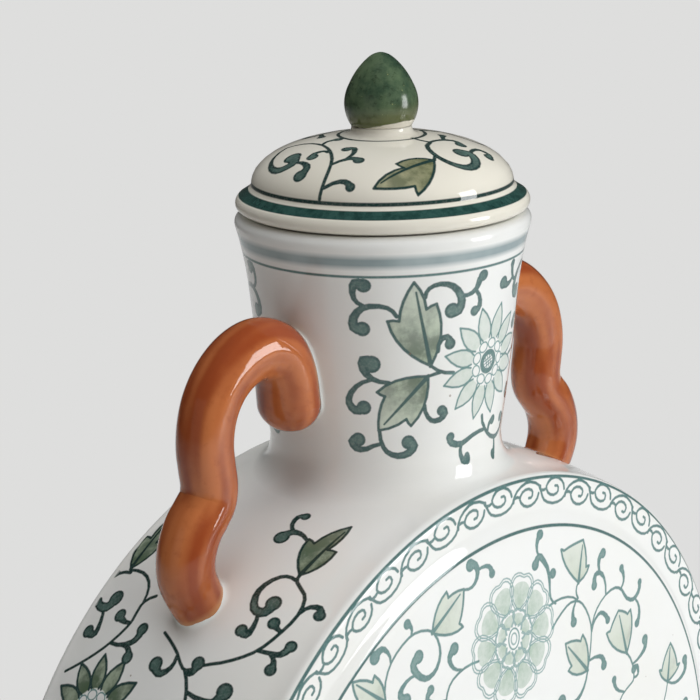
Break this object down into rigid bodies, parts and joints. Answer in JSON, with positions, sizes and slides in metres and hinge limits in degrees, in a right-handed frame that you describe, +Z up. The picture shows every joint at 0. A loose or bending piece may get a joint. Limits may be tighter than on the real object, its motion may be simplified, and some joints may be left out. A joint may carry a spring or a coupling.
{
  "type": "lidded vase",
  "caption": "Lidded moon-flask vase in glazed porcelain: a flat round body on an oval foot, a flared neck, crook handles and a domed lid with a bud finial that lifts off.",
  "frame": {"origin": "on the floor under the middle of the foot", "axes": "+Z up along the neck, X from handle to handle, Y through the two flat faces with the front face towards -Y"},
  "size_m": [0.241, 0.091, 0.3597],
  "materials": {
    "white_glaze": "clear gloss glaze over white porcelain with green underglaze painting",
    "rust_glaze": "gloss terracotta glaze",
    "green_glaze": "gloss mottled green glaze"
  },
  "bodies": {
    "vase": {"body_front_half": "white_glaze", "body_back_half": "white_glaze", "foot_ring": "white_glaze", "neck": "white_glaze", "left_handle": "rust_glaze", "right_handle": "rust_glaze"},
    "lid": {"lid_cover": "white_glaze", "lid_locating_ring": "white_glaze", "bud_finial": "green_glaze"}
  },
  "joints": [
    {"name": "lid_lift", "type": "slide", "parent": "vase", "child": "lid", "axis": [0, 0, 1], "range_m": [0, 0.08]}
  ]
}
